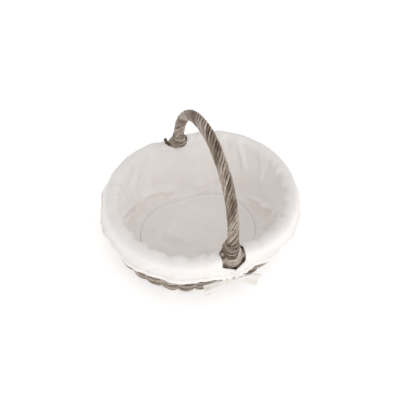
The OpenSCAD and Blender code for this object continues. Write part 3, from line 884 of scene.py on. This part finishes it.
def build_feet(tree, pale, dark, cut, far):
    """The roping rods' tips come down over the border, are swept round it from the left and bound."""
    name = "far" if far else "near"
    turn_round = np.array([-1, -1, 1]) if far else np.array([1, 1, 1])
    rng = np.random.default_rng(70 + far)

    def rod(at, shade, lot, thick=1.0):
        return dict(at=at * turn_round, shade=shade, thick=thick, lot=lot)

    # the collar: round-and-round binding, ragged where it starts on the roping
    turns = np.linspace(0, 7.9, 620)
    z = np.linspace(collar_top - 0.5 * MM, rim_z + 7 * MM, len(turns))
    lean = 0.9 * MM * np.sin(TAU * turns + 0.8)            # no turn lies quite level
    loose = 1 + 0.02 * Wander(71, 0.37)(turns)
    lines = [rod(bundle(turns, z + lean, loose), 0.9 + 0.8 * Wander(72, 0.9)(turns), 1)]
    for k in range(3):                                      # loose dark turns across the top
        t = np.linspace(0.52 + 0.09 * k, 1.42 + 0.13 * k, 60)
        over = collar_top + (0.6 - 1.3 * k) * MM + (3.2 - 0.8 * k) * MM * np.sin(TAU * (t - 0.66 - 0.1 * k))
        lines.append(rod(bundle(t, over, 1.02), -0.9, 2 + k, 0.72))
    ob = made_of_nodes("willow_%s_collar" % name, lines, tree, rods=1, rod_radius=1.1 * MM,
                       wobble=0.3 * MM, wobble_length=0.02, uneven=0.1, sides=8, seed=51 + far,
                       material=pale)
    finish_piece(ob, name + "_collar", slot="willow_skein")

    # the lashing: rods that come down under the rest, coloured very dark as painted shade for the gaps
    # between the turns over them, light rods swept round from the left and up on the right, and fine turns
    # on the right
    lines = []
    for k in range(11):
        z = np.linspace(collar_top - 5 * MM, lash_lo.z + 3 * MM, 30)
        turn = 0.49 + 0.052 * k + 0.015 * np.sin(z / (9 * MM) + k)
        # the rods underneath get a very dark tone: painted shade in the gaps between the turns laid over
        # them
        lines.append(rod(bundle(turn, z, 0.84, -1 * MM), rng.uniform(-3.4, -2.2), 10 + k))
    swept = np.array([0.42, 0.48, 0.56, 0.66, 0.75, 0.82, 0.88, 0.93])
    for k in range(5):
        left = rim_z + (4.0 - 4.7 * k) * MM
        rise = np.array([0.5, 0.0, -0.8, -0.2, 2.0, 5.4 + 0.2 * k, 9.6 + 0.8 * k, 13.0 + 1.8 * k]) * MM
        at = bundle(swept, np.minimum(left + rise, rim_z + 13 * MM), 1.03)
        lines.append(rod(smooth_line(at, 70), 0.7 + 0.5 * rng.uniform(), 30 + k,
                         1 + 0.1 * rng.uniform(-1, 1)))
    for k in range(10):
        t = np.linspace(0.86 + 0.005 * k, 1.06, 44)
        level = rim_z + (9.0 - 2.95 * k) * MM + 1.8 * MM * np.sin(TAU * (t - 0.8)) + 0.3 * MM * rng.normal()
        lines.append(rod(bundle(t, level, 0.99), rng.uniform(0.2, 1.2), 50 + k, 0.68))
    ob = made_of_nodes("willow_%s_lashing" % name, lines, tree, rods=1, rod_radius=1.6 * MM,
                       wobble=0.3 * MM, wobble_length=0.03, uneven=0.16, sides=10, seed=53 + far,
                       material=pale)
    finish_piece(ob, name + "_lashing", slot="willow_roping")

    # the sawn end of a border rod beside the foot, on the same side of the basket at both
    same_side = np.array([1, -1 if far else 1, 1])
    lo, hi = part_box("near_cut_end")
    root = np.array([(lo.x + hi.x) / 2, -end_r + 1 * MM, lo.z + 1 * MM])
    tip = root + np.array([-1.5, -5.5, 5.5 if far else 9.5]) * MM
    line = smooth_line([root + np.array([5, 6, -7]) * MM, root, tip], 24)
    ob = made_of_nodes("willow_%s_cut_end" % name, [dict(at=line * same_side, shade=0.2)], tree, rods=1,
                       rod_radius=2.8 * MM, uneven=0.0, sides=16, seed=55 + far, material=dark)
    me = ob.data
    me.materials.append(cut)
    axis = Vector((line[-1] - line[-2]) * same_side).normalized()
    for poly in me.polygons:
        if len(poly.vertices) > 8 and poly.normal.dot(axis) > 0.8:
            poly.material_index = 1
    finish_piece(ob, name + "_cut_end", slot="willow")


# ---------------------------------------------------------------- the ties

def ribbon(name, points, widths, across, mat, curl, pleat, seed, n=60):
    """A folded strip of cotton along a smooth line. across is the way its width runs at each point."""
    mid = smooth_line(points, n)
    t = np.linspace(0, 1, n)
    wide = np.interp(t, np.linspace(0, 1, len(widths)), widths)
    side = np.stack([np.interp(t, np.linspace(0, 1, len(across)), ways) for ways in np.transpose(across)],
                    -1)
    way = np.gradient(mid, axis=0)
    way /= np.linalg.norm(way, axis=1, keepdims=True)
    side -= (side * way).sum(1, keepdims=True) * way
    side /= np.linalg.norm(side, axis=1, keepdims=True)
    up = np.cross(way, side)
    v = np.linspace(-0.5, 0.5, 11)
    ripple = Wander(seed, 0.35)(t)[:, None] * 0.6 + 0.8
    from_mid = wide[:, None] * v[None, :]
    rise = curl * (0.25 - v ** 2)[None, :] * 4 + pleat * np.cos(TAU * 1.5 * v)[None, :] * ripple
    pts = mid[:, None] + side[:, None] * from_mid[..., None] + up[:, None] * rise[..., None]
    uv = np.stack(np.broadcast_arrays(from_mid, run_along(mid)[:, None]), -1)
    return sheet_object(name, pts, uv, mat, thickness=1.1 * MM)


def build_ties(mat, far):
    """At each foot the lining's corners run out into two narrow ties, knotted once, with loose tails."""
    name = "far" if far else "near"
    flip = np.array([-1, -1, 1]) if far else np.array([1, 1, 1])
    knot = np.array([knot_at.x, knot_at.y, knot_at.z])
    for side in ("left", "right"):
        lo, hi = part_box("near_tie_" + side)
        # a tie is named for the side its tail hangs on. It starts on the other side and crosses in the knot
        tail = np.array([hi.x, lo.z + 6 * MM]) if side == "right" else np.array([lo.x, lo.z + 8 * MM])
        away = np.sign(tail[0])
        steps = np.array([0.18, 0.45, 0.75, 1.0])
        drop = 0.25 * steps + 0.75 * steps ** 1.6
        tails = [(tail[0] * t, knot[1] - (1.6 + 1.6 * math.sin(3 * t)) * MM,
                  knot[2] + (tail[1] - knot[2]) * d)
                 for t, d in zip(steps, drop)]
        points = [(-away * 12 * MM, knot[1] + 6.5 * MM, knot[2] + 12 * MM),
                  (-away * 7 * MM, knot[1] + 2 * MM, knot[2] + 7 * MM),
                  (0, knot[1] - 1.5 * MM, knot[2])] + tails
        steep = abs(tail[1] - knot[2]) / np.hypot(tail[0], tail[1] - knot[2])
        down = [(-0.6 * away, 0.3, -0.8), (-0.5 * away, 0.3, -0.8), (-0.2 * away, 0.4, -1),
                (-steep * away, -0.2, -1)] + [(-steep * away, -0.6, -1)] * 3
        widths = np.array([19, 15, 10, 14, 17, 19, 20]) * MM
        ob = ribbon("cotton_%s_tie_%s" % (name, side), np.array(points) * flip, widths,
                    np.array(down) * flip,
                    mat, curl=1.6 * MM, pleat=1.1 * MM, seed=80 + int(away) + 3 * far)
        finish_piece(ob, "%s_tie_%s" % (name, side), slot="cotton_tie")
    # the knot: each tie wrapped once round the other
    made = []
    for k, (tilt, start, size) in enumerate(((0.5, 0.1, 5.2), (-0.7, 0.6, 4.6))):
        a = TAU * np.linspace(start, start + 1.12, 9)
        x, y, z = size * np.cos(a), 0.95 * size * np.sin(a), 2.2 * np.sin(a * 0.5 + k)
        ring = np.stack([x * math.cos(tilt) - z * math.sin(tilt), y,
                         x * math.sin(tilt) + z * math.cos(tilt)], -1) * MM
        axis = np.array([-math.sin(tilt), 0.0, math.cos(tilt)])
        made.append(ribbon("knot_loop", (knot + ring) * flip, [9 * MM] * 2, [axis * flip] * 2, mat,
                           curl=1.8 * MM, pleat=0.4 * MM, n=56, seed=90 + k))
    finish_piece(join("cotton_%s_tie_knot" % name, made), name + "_tie_knot", slot="cotton_tie")


def join(name, parts):
    """Parts of one piece as one mesh."""
    graph = bpy.context.evaluated_depsgraph_get()
    bm = bmesh.new()
    mats = []
    for ob in parts:
        me = bpy.data.meshes.new_from_object(ob.evaluated_get(graph))
        for m in me.materials:
            if m not in mats:
                mats.append(m)
        bm.from_mesh(me)
    out = bpy.data.meshes.new(name)
    bm.to_mesh(out)
    bm.free()
    for m in mats:
        out.materials.append(m)
    for ob in parts:
        bpy.data.objects.remove(ob)
    return new_object(name, out)


# ---------------------------------------------------------------- put together

camera()
studio()
grey = willow("washed_willow", "#3d3228", "#6f6155", "#9d8f82", "#d3c8bc")
dark = willow("washed_willow_dark", "#2d241d", "#54473c", "#776a5e", "#a3968a")
pale = willow("washed_willow_roping", "#3a2f26", "#7a695b", "#a99a8b", "#e2d6ca", rough=0.45)
stick = willow("washed_willow_sticks", "#3d332b", "#6a5d51", "#8d8073", "#b3a89c", on_rods=False)
cotton = calico("cotton_calico", "#fcf8f5", "#f7f1ed")
rods = rod_tree()
thread = cotton_thread("cotton_thread")
build_wall(rods, grey, dark)
build_border(rods, grey, dark)
build_base(rods, dark)
build_handle(rods, pale)
build_lining(cotton, rods, thread)
build_bottom(cotton)
cut = cut_willow("willow_cut_face")
# the ties are of the lining's own calico, coloured darker here: painted shade, so that they stand out from
# the white floor
shaded_tie_calico = calico("cotton_tie_calico", "#f3ede8", "#e9e1da")
for far in (False, True):
    build_feet(rods, pale, dark, cut, far)
    build_ties(shaded_tie_calico, far)
for node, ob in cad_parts.items():
    if not ob.hide_render:
        ob.data.materials.clear()
        ob.data.materials.append(stick)
